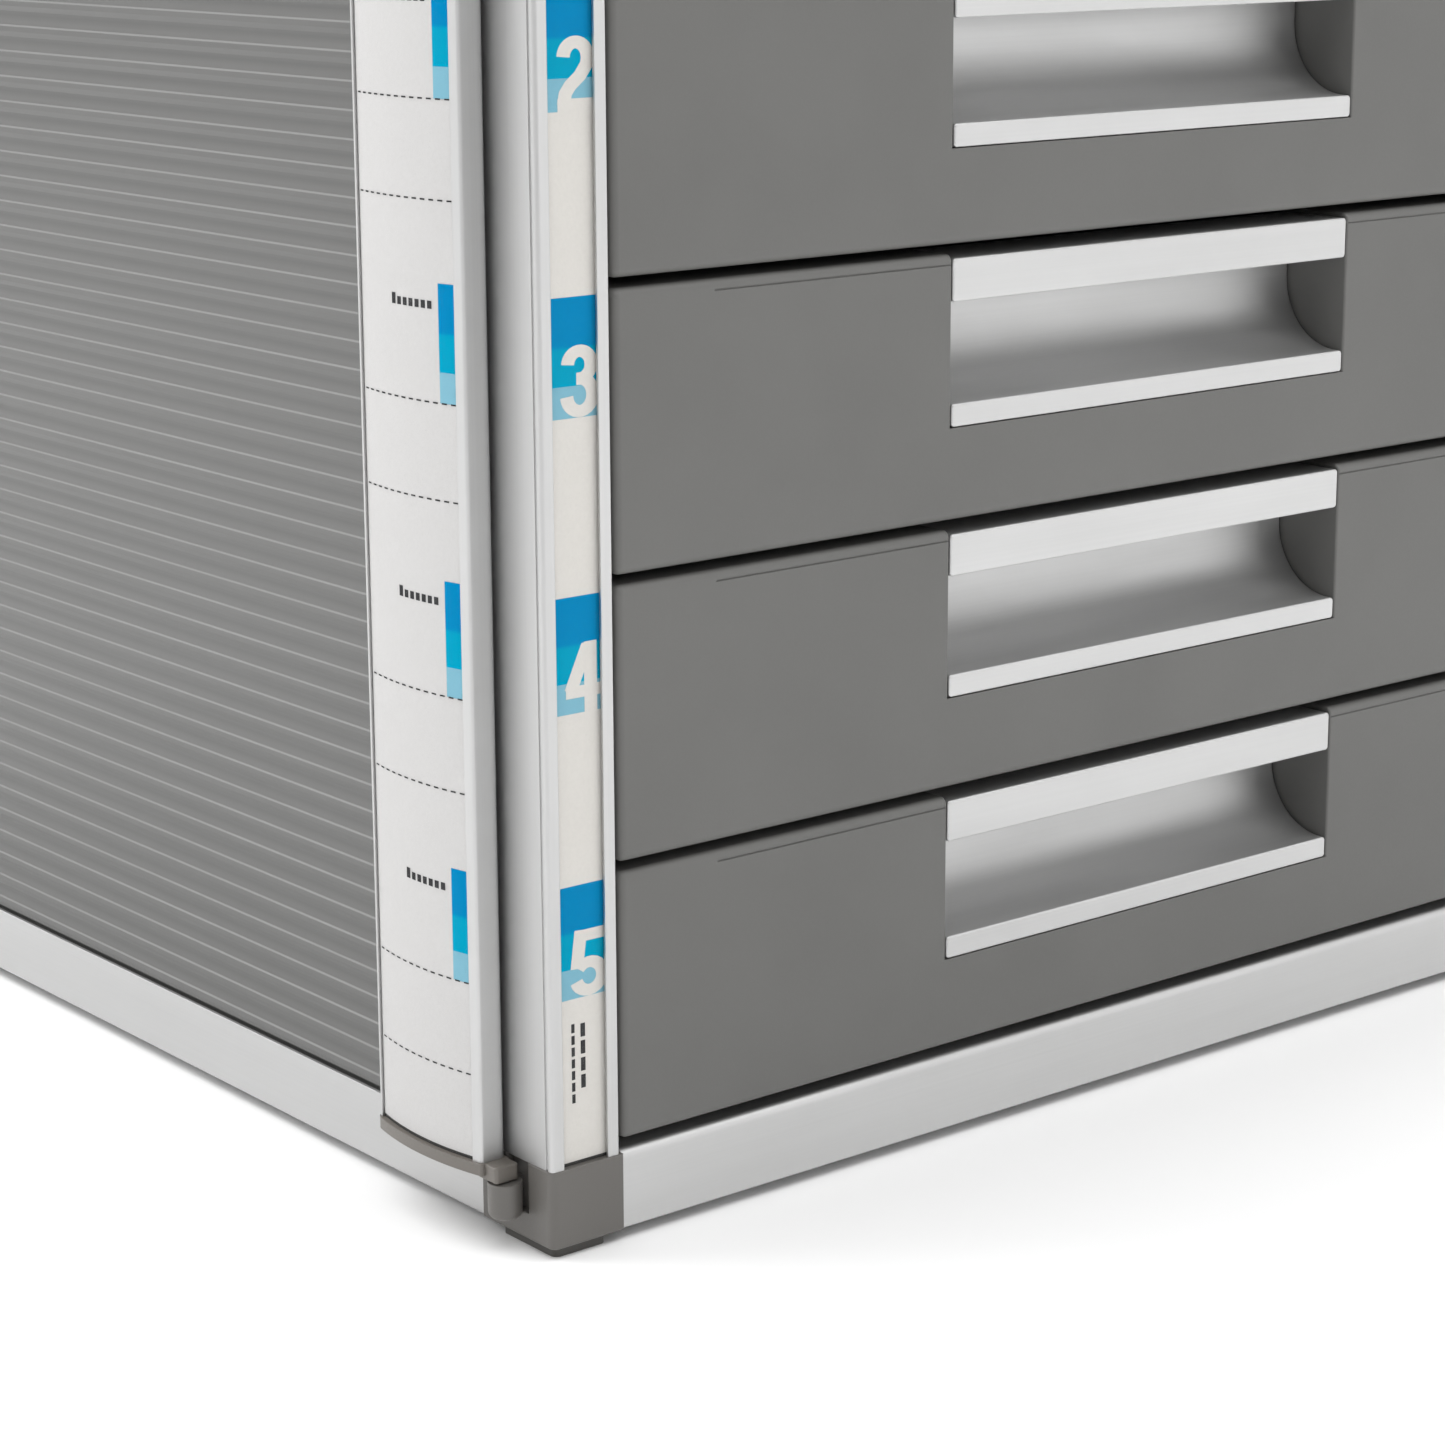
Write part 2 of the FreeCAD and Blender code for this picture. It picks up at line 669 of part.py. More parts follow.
def drawer_front(number):
    """Moulded front: a skin with a rim behind it, and a notch that is open at the top for the handle."""
    body = new_body(f"drawer_front_{number}")
    box(body, ("-front_half", "front_half"), ("0", "front_depth"), ("0", "front_height"))
    corners = [{"x": x, "z": z} for x in ("-front_half", "front_half") for z in ("0", "front_height")]
    round_edges(body, "front_corner", *corners)
    round_edges(body, "front_edge", {"y": "0"})
    notch_z = ("handle_low - handle_seam", "front_height + overrun")
    box(body, ("-notch_half", "notch_half"), ("-overrun", "front_depth + overrun"), notch_z, "Subtractive")
    round_edges(body, "notch_edge", {"x": "-notch_half", "y": "0"}, {"x": "notch_half", "y": "0"})
    behind = ("front_skin", "front_depth + overrun")
    cell_z = ("front_wall", "front_height - front_wall")
    line_z = ("front_height - relief_drop - relief_width", "front_height - relief_drop")
    for sign in (1, -1):
        cell = signed(sign, "notch_half + front_wall", "front_half - front_wall")
        box(body, cell, behind, cell_z, "Subtractive")
        relief = signed(sign, "notch_half - overrun", "front_half - relief_start")
        box(body, relief, ("-overrun", "relief_depth"), line_z, "Subtractive")
        boss = (f"{sign} * boss_offset", "front_skin - overrun", "boss_height")
        cylinder(body, boss, "boss_radius", "front_depth - front_skin + overrun", along_y=True)
        hole = (f"{sign} * boss_offset", "front_depth - front_screw_length + tray_wall", "boss_height")
        cylinder(body, hole, "front_screw_radius", "front_screw_length", "Subtractive", along_y=True)
    under = ("front_wall", "handle_low - handle_seam - front_wall")
    box(body, ("-notch_half", "notch_half"), behind, under, "Subtractive")
    return place(body, z=drawer_low(number))


def tray(number):
    """Drawer tray with a rim flange on each side that slides on the liners' ledges."""
    body = new_body(f"drawer_tray_{number}")
    width = ("-tray_half", "tray_half")
    length = ("tray_front", "tray_rear")
    box(body, width, length, ("tray_low", "tray_high"))
    uprights = [{"x": x, "y": y} for x in width for y in length]
    round_edges(body, "tray_round", *uprights)
    round_edges(body, "tray_edge", {"z": "tray_low"})
    doc.recompute()
    base = body.Tip
    tops = [
        f"Face{index}" for index, face in enumerate(base.Shape.Faces, start=1)
        if abs(face.BoundBox.ZMin - value("tray_high")) < 0.01
    ]
    shell = body.newObject("PartDesign::Thickness", "Shell")
    shell.Base = (base, tops)
    shell.Reversed = True
    bind(shell, Value="tray_wall")
    doc.recompute()
    for sign in (1, -1):
        flange = signed(sign, "tray_half - tray_wall / 2", "tray_half + flange_reach")
        along = ("tray_front + tray_round", "tray_rear - tray_round")
        box(body, flange, along, ("tray_high - flange_thick", "tray_high"))
        nub = signed(sign, "tray_half", "tray_half + nub_width")
        nub_z = ("tray_high - flange_thick / 2", "tray_high + nub_height")
        box(body, nub, ("nub_front", "nub_front + nub_length"), nub_z)
        hole = (f"{sign} * boss_offset", "tray_front - overrun", "boss_height")
        cylinder(body, hole, "front_screw_radius", "tray_wall + 2 * overrun", "Subtractive", along_y=True)
    return place(body, z=drawer_low(number))


def front_screws(number):
    """The two screws that hold a tray to its front, driven from inside the tray."""
    screws = []
    for sign in (1, -1):
        body = doc.addObject("PartDesign::Body", "Screw")
        centre = (f"{sign} * boss_offset", "front_depth + tray_wall", "boss_height")
        cylinder(body, centre, "screw_head_radius", "screw_head_height", along_y=True)
        shank = (centre[0], "front_depth + tray_wall - front_screw_length", centre[2])
        cylinder(body, shank, "front_screw_radius", "front_screw_length + overrun", along_y=True)
        screws.append(place(body, z=drawer_low(number)))
    return gather(f"drawer_screws_{number}", screws)


def handle(number):
    """Extruded pull: a brow plate, a hollow behind it, and a quarter-round scoop down to the lip."""
    body = new_body(f"handle_{number}")
    sheet_thick, depth = "handle_sheet", "handle_depth"
    lip_high = "handle_low + lip_height"
    bend_high = f"{lip_high} + {depth} - {sheet_thick}"
    roof_low = f"handle_high - {sheet_thick}"
    brow_low = "handle_high - brow_height"
    corners = [
        ("0", "handle_low"), ("0", lip_high), (sheet_thick, lip_high), (depth, bend_high),
        (depth, roof_low), ("brow_thick", roof_low), ("brow_thick", brow_low), ("0", brow_low),
        ("0", "handle_high"), (f"{depth} + {sheet_thick}", "handle_high"),
        (f"{depth} + {sheet_thick}", bend_high), (sheet_thick, f"{lip_high} - {sheet_thick}"),
        (sheet_thick, "handle_low"),
    ]
    arcs = {2: (f"{depth} - {sheet_thick}", 1), 10: (depth, -1)}
    pad(body, "YZ_Plane", [(corners, arcs)], "2 * handle_half")
    heights = ("handle_low", lip_high, brow_low, "handle_high")
    ends = [{"x": x, "z": z} for x in ("0", "2 * handle_half") for z in heights]
    round_edges(body, "handle_corner", *ends)
    round_edges(body, "handle_edge", {"y": "0"})
    return place(body, "-handle_half", "0", drawer_low(number))


# ---------------------------------------------------------------- cards and index wing

def number_sheet(name, back, thick, shortened):
    """A flat strip in the card channel of the left front post."""
    body = new_body(name)
    left = "lip_outer - channel_undercut + card_play"
    right = "post_width - lip_inner + channel_undercut - card_play"
    height = (f"post_low + {shortened}", f"post_high - {shortened}")
    box(body, (left, right), (f"{back} - {thick}", back), height)
    return place(body, "-half_width")


def arc_x(inset, y):
    """X of a circle about the wing's arc axis, inset from the wing's outer surface."""
    return f"wing_axis - ((wing_radius - ({inset}))^2 - ({y} - wing_middle)^2)^0.5"


def hang_on_hinge(body, z):
    return place(body, "hinge_x", "hinge_back", z)


def wing_frame():
    """Extrusion of the index wing: two edge lips, a bowed card bed and two webs towards the cabinet."""
    body = new_body("wing_frame")
    bed = "wing_recess"
    back = "wing_recess + wing_sheet"
    inner_front = "wing_start + wing_web_front"
    inner_rear = "wing_end - wing_web_rear"
    corners = [
        ("wing_inner", "wing_start"), (arc_x("0", "wing_start"), "wing_start"),
        (arc_x("0", "card_front"), "card_front"), (arc_x(bed, "card_front"), "card_front"),
        (arc_x(bed, "card_rear"), "card_rear"), (arc_x("0", "card_rear"), "card_rear"),
        (arc_x("0", "wing_end"), "wing_end"), ("wing_inner", "wing_end"),
        ("wing_inner", inner_rear), (arc_x(back, inner_rear), inner_rear),
        (arc_x(back, inner_front), inner_front), ("wing_inner", inner_front),
    ]
    arcs = {1: ("wing_radius", -1), 3: (f"wing_radius - {bed}", -1), 5: ("wing_radius", -1),
            9: (f"wing_radius - ({back})", 1)}
    pad(body, "XY_Plane", [(corners, arcs)], "wing_high - wing_low")
    round_edges(body, "wing_round_front", {"x": "wing_edge", "y": "wing_start"})
    round_edges(body, "wing_nose_round", {"x": "wing_inner", "y": "wing_start"})
    round_edges(body, "wing_round_rear", {"x": "wing_edge", "y": "wing_end"})
    return hang_on_hinge(body, "wing_low")


def wing_sheet(name, outer, thick, shortened):
    """A bowed strip in the card bed; outer is how deep its outer face lies."""
    body = new_body(name)
    front, rear = "card_front + 2 * card_play", "card_rear - 2 * card_play"
    inner = f"{outer} + {thick}"
    corners = [
        (arc_x(outer, front), front), (arc_x(outer, rear), rear),
        (arc_x(inner, rear), rear), (arc_x(inner, front), front),
    ]
    arcs = {0: (f"wing_radius - ({outer})", -1), 2: (f"wing_radius - ({inner})", 1)}
    pad(body, "XY_Plane", [(corners, arcs)], f"wing_high - wing_low - 2 * {shortened}")
    return hang_on_hinge(body, f"wing_low + {shortened}")


def wing_cap(level_name):
    """End cap of the wing: a bowed plate, a plug behind the card bed, and the hinge tab with its bore."""
    level = LEVELS[level_name]
    body = new_body(f"wing_cap_{level_name}")
    front, rear = "wing_start - cap_proud", "wing_end + cap_proud"
    proud = "-cap_proud"
    plate = [
        ("wing_inner", front), (arc_x(proud, front), front),
        (arc_x(proud, rear), rear), ("wing_inner", rear),
    ]
    pad(body, "XY_Plane", [(plate, {1: ("wing_radius + cap_proud", -1)})], "cap_thick")
    doc.recompute()
    edge_front = {"x": arc_x(proud, front), "y": front}
    edge_rear = {"x": arc_x(proud, rear), "y": rear}
    round_edges(body, "wing_round_front", edge_front)
    round_edges(body, "cap_round_rear", edge_rear)
    plug = signed(level, "cap_thick", "cap_thick + plug_length")
    plug_x = ("wing_inner - cap_proud - plug_thick", "wing_inner - cap_proud")
    box(body, plug_x, ("wing_start + plug_inset", "wing_end - plug_inset"),
        plug if level == BOTTOM else ("-plug_length", "0"))
    tab = ("cap_thick - tab_height", "cap_thick") if level == BOTTOM else ("0", "tab_height")
    box(body, ("-tab_outer", "tab_inner"), ("-tab_front", "wing_start + tab_front"), tab)
    corners = [{"x": x, "y": "-tab_front"} for x in ("-tab_outer", "tab_inner")]
    round_edges(body, "tab_round", *corners)
    far_z = tab[0] if level == BOTTOM else tab[1]
    near_z = tab[1] if level == BOTTOM else tab[0]
    round_edges(body, "tab_edge", {"y": "-tab_front", "z": far_z}, {"y": "-tab_front", "z": near_z})
    bore_low = "cap_thick - tab_height - overrun" if level == BOTTOM else "pin_cap"
    bore_length = "tab_height + overrun - pin_cap"
    cylinder(body, ("0", "0", bore_low), "pin_radius + pin_gap", bore_length, "Subtractive")
    return hang_on_hinge(body, "wing_low - cap_thick" if level == BOTTOM else "wing_high")


def hinge_pins():
    """The two pins, pressed into the knuckles, on which the wing's caps turn."""
    pins = []
    length = "block_height - wing_drop - knuckle_low - 3 * pin_cap"
    for level, start in ((BOTTOM, "foot_height"), (TOP, "total_height")):
        body = doc.addObject("PartDesign::Body", "Pin")
        low, high = signed(level, "knuckle_low + pin_cap", f"knuckle_low + pin_cap + {length}")
        cylinder(body, ("0", "0", low), "pin_radius", f"({high}) - ({low})")
        pins.append(hang_on_hinge(body, start))
    return gather("hinge_pins", pins)


# ---------------------------------------------------------------- assembly

def build_frame():
    parts = [post(side, end) for side in SIDES for end in ENDS]
    for level in LEVELS:
        parts += [cross_rail(level, end) for end in ENDS]
        parts += [side_rail(level, side) for side in SIDES]
        parts += [corner_block(level, end, side) for end in ENDS for side in SIDES]
    parts.append(gather("foot_pads", at_corners(foot_pad)))
    parts.append(gather("frame_screws", at_corners(frame_screw)))
    parts += [side_panel(side) for side in SIDES]
    parts += [rear_panel(), level_panel("base_panel", BOTTOM), level_panel("top_panel", TOP)]
    parts += [liner(side) for side in SIDES]
    return parts


def build_drawers():
    makers = (tray, drawer_front, handle, front_screws)
    return [make(number) for number in DRAWERS for make in makers]


def build_cards():
    back = "channel_depth - card_clear"
    cover_back = f"{back} - card_thick - card_clear"
    cover_in_wing = "wing_recess - card_thick - card_clear / 2 - cover_thick"
    return [
        number_sheet("number_card", back, "card_thick", "card_end_gap"),
        number_sheet("number_cover", cover_back, "cover_thick", "cover_end_gap"),
        wing_frame(),
        wing_sheet("wing_card", "wing_recess - card_thick", "card_thick", "card_end_gap"),
        wing_sheet("wing_cover", cover_in_wing, "cover_thick", "cover_end_gap"),
        wing_cap("bottom"),
        wing_cap("top"),
        hinge_pins(),
    ]


def check(parts):
    """Stop with a plain message if any feature failed or any sub-part has no valid shape."""
    for item in doc.Objects:
        if {"Invalid", "Error"} & set(item.State):
            raise RuntimeError(f"{item.Label} failed: {item.State}")
    for part in parts:
        if part.Shape.isNull() or not part.Shape.isValid():
            raise RuntimeError(f"{part.Label} has no valid shape")


def write(parts):
    os.makedirs("parts", exist_ok=True)
    for part in parts:
        part.Shape.exportStep(f"parts/{part.Label}.step")


def main():
    fill_sheet()
    parts = build_frame() + build_drawers() + build_cards()
    doc.recompute()
    check(parts)
    write(parts)
    print(len(parts), "nodes,", sum(len(part.Shape.Solids) for part in parts), "solids")


main()
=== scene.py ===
from math import cos, radians, sin

import bpy
from mathutils import Matrix, Vector


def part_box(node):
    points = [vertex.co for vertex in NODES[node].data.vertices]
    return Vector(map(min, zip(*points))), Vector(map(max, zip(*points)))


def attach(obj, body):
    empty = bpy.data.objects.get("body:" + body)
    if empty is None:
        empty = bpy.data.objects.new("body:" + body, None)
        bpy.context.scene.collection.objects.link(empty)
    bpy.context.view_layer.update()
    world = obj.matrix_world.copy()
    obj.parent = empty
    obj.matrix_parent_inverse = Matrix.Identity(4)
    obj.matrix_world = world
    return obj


# Looks of a desktop filing cabinet: materials for the CAD sub-parts, the print on
# its two cards, and a plain studio. Metres, in the CAD model's own frame.

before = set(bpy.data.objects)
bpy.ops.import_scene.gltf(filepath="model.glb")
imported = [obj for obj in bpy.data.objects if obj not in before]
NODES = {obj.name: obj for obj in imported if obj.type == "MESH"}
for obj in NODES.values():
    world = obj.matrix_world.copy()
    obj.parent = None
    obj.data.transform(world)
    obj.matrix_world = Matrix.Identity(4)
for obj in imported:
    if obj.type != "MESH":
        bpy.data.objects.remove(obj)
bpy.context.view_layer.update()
MM = 0.001
DRAWERS = (1, 2, 3, 4, 5)

DARK_BLUE = (0.0, 0.222, 0.475)
MID_BLUE = (0.0, 0.32, 0.50)
PALE_BLUE = (0.21, 0.45, 0.56)
CARD_WHITE = (0.675, 0.655, 0.62)
WING_WHITE = (0.588, 0.581, 0.575)
INK_GREY = (0.05, 0.05, 0.052)

# Heights of the printed bands above a drawer front's lower edge.
NUMBER_BANDS = (53.3, 44.05, 36.85, 30.9)
WING_BANDS = (55.3, 46.0, 38.8, 33.0)
PRINT_LIFT = 0.03 * MM
# Thin dark strips of painted shade fill the gaps at the ends of both cards, a few print lifts below the
# card's face.
GAP_SHADE_DEPTH = 3
GAP_SHADE_BLACK = (0.03, 0.029, 0.027)


# ---------------------------------------------------------------- materials

# Blender's noise stays mostly between these two numbers.
NOISE_RANGE = (0.3, 0.7)


class Look:
    """A Principled material, and short calls that add procedural detail to it."""

    def __init__(self, name, colour, roughness, metallic=0.0):
        self.material = bpy.data.materials.new(name)
        self.material.use_nodes = True
        self.tree = self.material.node_tree
        self.shader = self.tree.nodes["Principled BSDF"]
        self.colour = colour
        self.set("Base Color", (*colour, 1.0))
        self.set("Roughness", roughness)
        self.set("Metallic", metallic)
        self.places = self.node("ShaderNodeTexCoord").outputs["Object"]

    def node(self, kind, **settings):
        item = self.tree.nodes.new(kind)
        for name, content in settings.items():
            setattr(item, name, content)
        return item

    def set(self, socket, content):
        self.shader.inputs[socket].default_value = content

    def join(self, output, socket):
        self.tree.links.new(output, socket)

    def noise(self, size, stretch=(1, 1, 1), detail=2.0):
        """Noise whose features are about size metres wide, longer along the stretched axes."""
        mapping = self.node("ShaderNodeMapping")
        mapping.inputs["Scale"].default_value = [1 / (size * factor) for factor in stretch]
        self.join(self.places, mapping.inputs["Vector"])
        noise = self.node("ShaderNodeTexNoise")
        noise.inputs["Scale"].default_value = 1.0
        noise.inputs["Detail"].default_value = detail
        self.join(mapping.outputs["Vector"], noise.inputs["Vector"])
        return noise.outputs["Fac"]

    def spread(self, factor, low, high):
        """Map the useful part of a noise to the range low to high."""
        item = self.node("ShaderNodeMapRange")
        item.inputs["From Min"].default_value = NOISE_RANGE[0]
        item.inputs["From Max"].default_value = NOISE_RANGE[1]
        item.inputs["To Min"].default_value = low
        item.inputs["To Max"].default_value = high
        self.join(factor, item.inputs["Value"])
        return item.outputs["Result"]

    def math(self, operation, first, *numbers):
        item = self.node("ShaderNodeMath", operation=operation)
        self.join(first, item.inputs[0])
        for socket, number in zip(list(item.inputs)[1:], numbers):
            socket.default_value = number
        return item.outputs["Value"]

    def tint(self, factor, darker, lighter):
        """Vary the colour between two multiples of itself."""
        ramp = self.node("ShaderNodeValToRGB")
        for stop, place, times in zip(ramp.color_ramp.elements, NOISE_RANGE, (darker, lighter)):
            stop.position = place
            stop.color = (*(channel * times for channel in self.colour), 1.0)
        self.join(factor, ramp.inputs["Fac"])
        self.join(ramp.outputs["Color"], self.shader.inputs["Base Color"])

    def vary_roughness(self, factor, low, high):
        self.join(self.spread(factor, low, high), self.shader.inputs["Roughness"])

    def relief(self, *layers, edge=0.0):
        """Stack bumps of (factor, height in metres); edge rounds sharp edges by that radius."""
        normal = None
        if edge:
            bevel = self.node("ShaderNodeBevel", samples=4)
            bevel.inputs["Radius"].default_value = edge
            normal = bevel.outputs["Normal"]
        for factor, height in layers:
            bump = self.node("ShaderNodeBump")
            bump.inputs["Distance"].default_value = height
            self.join(factor, bump.inputs["Height"])
            if normal:
                self.join(normal, bump.inputs["Normal"])
            normal = bump.outputs["Normal"]
        self.join(normal, self.shader.inputs["Normal"])


def along(axis, length=60):
    """Stretch for streaks that run along one axis."""
    return tuple(length if letter == axis else 1 for letter in "xyz")


def aluminium(axis):
    """Satin anodised extrusion with fine die lines along its axis."""
    look = Look(f"satin_aluminium_{axis}", (0.60, 0.60, 0.598), 0.52, metallic=1.0)
    lines = look.noise(0.35 * MM, along(axis, 400), detail=3)
    haze = look.noise(9 * MM, along(axis, 6))
    satin = look.noise(0.09 * MM, detail=1)
    look.tint(lines, 0.985, 1.01)
    look.vary_roughness(haze, 0.48, 0.56)
    look.relief((lines, 0.004 * MM), (satin, 0.0025 * MM), edge=0.22 * MM)
    return look.material


def moulded(name, colour, roughness, grain=0.35, depth=0.012, sheen=0.0, edge=0.25):
    """Injection-moulded plastic: fine spark-eroded grain with a slow, cloudy variation."""
    look = Look(name, colour, roughness)
    cloud = look.noise(28 * MM)
    fine = look.noise(grain * MM, detail=3)
    look.tint(cloud, 0.965, 1.035)
    look.vary_roughness(fine, roughness - 0.05, roughness + 0.07)
    look.relief((fine, depth * MM), edge=edge * MM)
    if sheen:
        look.set("Coat Weight", sheen)
        look.set("Coat Roughness", 0.35)
    return look.material


SHEET_GREY = (0.139, 0.139, 0.135)
RIB_PITCH = 5.6 * MM
# Height of the lowest crest above the floor.
RIB_CREST = 20.85 * MM
RIB_GREY = 0.238
# Places along a rib, from one crest to the next, and the share of the ribbed sheet's grey there; the light
# crest is a painted highlight.
RIB_HIGHLIGHT_TONES = (
    (0.0, 0.82), (0.045, 0.57), (0.2, 0.55), (0.42, 0.44),
    (0.58, 0.5), (0.8, 0.53), (0.955, 0.56), (1.0, 0.82),
)


def extruded_sheet(name, axis, colour):
    """Twin-wall sheet: streaks along the extrusion and a light grain."""
    look = Look(name, colour, 0.42)
    streaks = look.noise(0.8 * MM, along(axis, 120), detail=3)
    grain = look.noise(0.25 * MM)
    look.tint(streaks, 0.93, 1.06)
    look.vary_roughness(streaks, 0.36, 0.5)
    look.relief((streaks, 0.01 * MM), (grain, 0.004 * MM))
    return look


def ribbed_sheet(axis):
    """The same sheet with a painted highlight on every crest and a darker valley on every rib."""
    look = extruded_sheet(f"sheet_ribbed_{axis}", axis, (RIB_GREY, RIB_GREY, 0.97 * RIB_GREY))
    heights = look.node("ShaderNodeSeparateXYZ")
    look.join(look.places, heights.inputs["Vector"])
    turns = look.math("MULTIPLY_ADD", heights.outputs["Z"], 1 / RIB_PITCH, -RIB_CREST / RIB_PITCH)
    # Painted highlight: the ramp makes each rib's crest lighter, standing in for light caught by the
    # ridge.
    ramp = look.node("ShaderNodeValToRGB")
    stops = ramp.color_ramp.elements
    while len(stops) < len(RIB_HIGHLIGHT_TONES):
        stops.new(0.5)
    for stop, (place, tone) in zip(stops, RIB_HIGHLIGHT_TONES):
        stop.position = place
        stop.color = (tone, tone, tone, 1.0)
    look.join(look.math("FRACT", turns), ramp.inputs["Fac"])
    mix = look.node("ShaderNodeMix", data_type="RGBA", blend_type="MULTIPLY")
    mix.inputs["Factor"].default_value = 1.0
    base = look.shader.inputs["Base Color"].links[0].from_socket
    look.join(base, mix.inputs["A"])
    look.join(ramp.outputs["Color"], mix.inputs["B"])
    look.join(mix.outputs["Result"], look.shader.inputs["Base Color"])
    return look


def printed(name, colour):
    """Coated card: faint fibres and an even print."""
    look = Look(name, colour, 0.5)
    look.set("Specular IOR Level", 0.0)
    fibres = look.noise(0.6 * MM, detail=4)
    look.tint(fibres, 0.975, 1.015)
    look.vary_roughness(fibres, 0.45, 0.58)
    look.relief((fibres, 0.003 * MM))
    return look.material


def clear_film():
    look = Look("clear_plastic", (0.94, 0.95, 0.95), 0.12)
    wave = look.noise(40 * MM, along("z", 4))
    look.vary_roughness(wave, 0.08, 0.16)
    look.set("Alpha", 0.003)
    look.set("Specular IOR Level", 0.15)
    return look.material


def steel():
    look = Look("zinc_steel", (0.56, 0.565, 0.57), 0.3, metallic=1.0)
    marks = look.noise(0.5 * MM, detail=4)
    look.tint(marks, 0.88, 1.05)
    look.vary_roughness(marks, 0.24, 0.4)
    look.relief((marks, 0.01 * MM), edge=0.2 * MM)
    return look.material


def dress_frame():
    """Give every CAD sub-part its material."""
    metal = {axis: aluminium(axis) for axis in "xyz"}
    front = moulded("front_plastic", (0.133, 0.132, 0.126), 0.5)
    fitting = moulded("grey_fittings", (0.122, 0.115, 0.106), 0.42, grain=0.5, depth=0.006, sheen=0.15)
    cap = moulded("wing_cap_plastic", (0.150, 0.136, 0.120), 0.42, grain=0.5, depth=0.006, sheen=0.15)
    tray = moulded("tray_plastic", (0.135, 0.134, 0.128), 0.45)
    liner = moulded("liner_plastic", (0.07, 0.07, 0.068), 0.55)
    rubber = moulded("foot_rubber", (0.085, 0.082, 0.076), 0.75, grain=0.3, depth=0.02)
    card = printed("card_paper", CARD_WHITE)
    wing_card = printed("card_wing", WING_WHITE)
    film = clear_film()
    screw = steel()
    ribbed = {axis: ribbed_sheet(axis).material for axis in "xy"}
    sheet = extruded_sheet("sheet_plain", "x", SHEET_GREY).material
    looks = {
        "post": metal["z"], "wing_frame": metal["z"], "handle": metal["x"],
        "rail_bottom_front": metal["x"], "rail_bottom_rear": metal["x"],
        "rail_top_front": metal["x"], "rail_top_rear": metal["x"],
        "rail_bottom": metal["y"], "rail_top": metal["y"],
        "corner": fitting, "wing_cap": cap, "foot_pads": rubber,
        "side_panel": ribbed["y"], "rear_panel": ribbed["x"], "base_panel": sheet, "top_panel": sheet,
        "liner": liner, "drawer_front": front, "drawer_tray": tray,
        "drawer_screws": screw, "frame_screws": screw, "hinge_pins": screw,
        "number_card": card, "wing_card": wing_card, "number_cover": film, "wing_cover": film,
    }
    for name, node in NODES.items():
        prefix = max((start for start in looks if name.startswith(start)), key=len)
        for slot in node.material_slots:
            slot.material = looks[prefix]


# ---------------------------------------------------------------- print on the cards

def flat_piece(name, body, material, patches):
    """One mesh of many patches; a patch is a strip of (left, right) point pairs."""
    points, faces = [], []
    for strip in patches:
        first = len(points)
        for left, right in strip:
            points += [left, right]
        for step in range(len(strip) - 1):
            corner = first + 2 * step
            faces.append((corner, corner + 1, corner + 3, corner + 2))
    mesh = bpy.data.meshes.new(name)
    mesh.from_pydata(points, [], faces)
    mesh.materials.append(material)
    piece = bpy.data.objects.new(name, mesh)
    bpy.context.scene.collection.objects.link(piece)
    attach(piece, body)
    return piece


def drawer_base(number):
    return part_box(f"drawer_front_{number}")[0].z


def arc(middle_x, middle_z, reach_x, reach_z, start, stop, steps=20):
    """Points of an elliptical arc; angles in degrees."""
    angles = [radians(start + (stop - start) * step / steps) for step in range(steps + 1)]
    return [(middle_x + reach_x * cos(angle), middle_z + reach_z * sin(angle)) for angle in angles]


# Centre lines of the numerals' strokes, in millimetres from the numeral's lower left corner.
NUMERALS = {
    1: [[(2.0, 10.2), (3.6, 10.6), (4.7, 11.8), (5.0, 13.5)], [(5.6, 13.5), (5.6, 0.0)]],
    2: [arc(4.45, 9.55, 2.75, 2.8, 176, -28) + [(5.4, 6.3), (3.2, 4.6), (2.1, 3.2), (1.7, 1.2)],
        [(0.3, 1.15), (8.6, 1.15)]],
    3: [arc(4.4, 9.77, 2.7, 2.58, 177, -90) + [(3.65, 7.19)], arc(4.4, 4.17, 3.0, 3.02, 90, -177)],
    4: [[(6.0, 13.5), (6.0, 0.0)], [(5.4, 13.0), (1.3, 4.3)], [(0.2, 4.1), (9.0, 4.1)]],
    5: [[(8.7, 12.2), (2.1, 12.2)], [(2.85, 13.4), (1.8, 5.8)], arc(4.7, 3.95, 3.15, 2.8, 142, -165)],
}
STROKE_WIDE = 3.0
STROKE_HIGH = 2.3
NUMERAL_OFFSET = 3.3


# Two upright columns of plain marks on the number card, in millimetres:
# left side, width, lowest end, mark height, pitch, count.
CARD_COLUMNS = ((5.75, 1.1, 12.6, 2.7, 3.45, 4), (3.55, 0.8, 9.9, 1.8, 2.37, 7))


def stroke(line):
    """Left and right edges of a flat pen stroke along a centre line."""
    scaled = [Vector((x / STROKE_WIDE, z / STROKE_HIGH)) for x, z in line]
    edges = []
    for index, point in enumerate(scaled):
        before = scaled[max(index - 1, 0)]
        after = scaled[min(index + 1, len(scaled) - 1)]
        way = (after - before).normalized()
        across = Vector((-way.y, way.x)) / 2
        pair = [point + across, point - across]
        edges.append([(corner.x * STROKE_WIDE, corner.y * STROKE_HIGH) for corner in pair])
    return edges


def rectangle(left, right, low, high):
    return [[(left, low), (left, high)], [(right, low), (right, high)]]


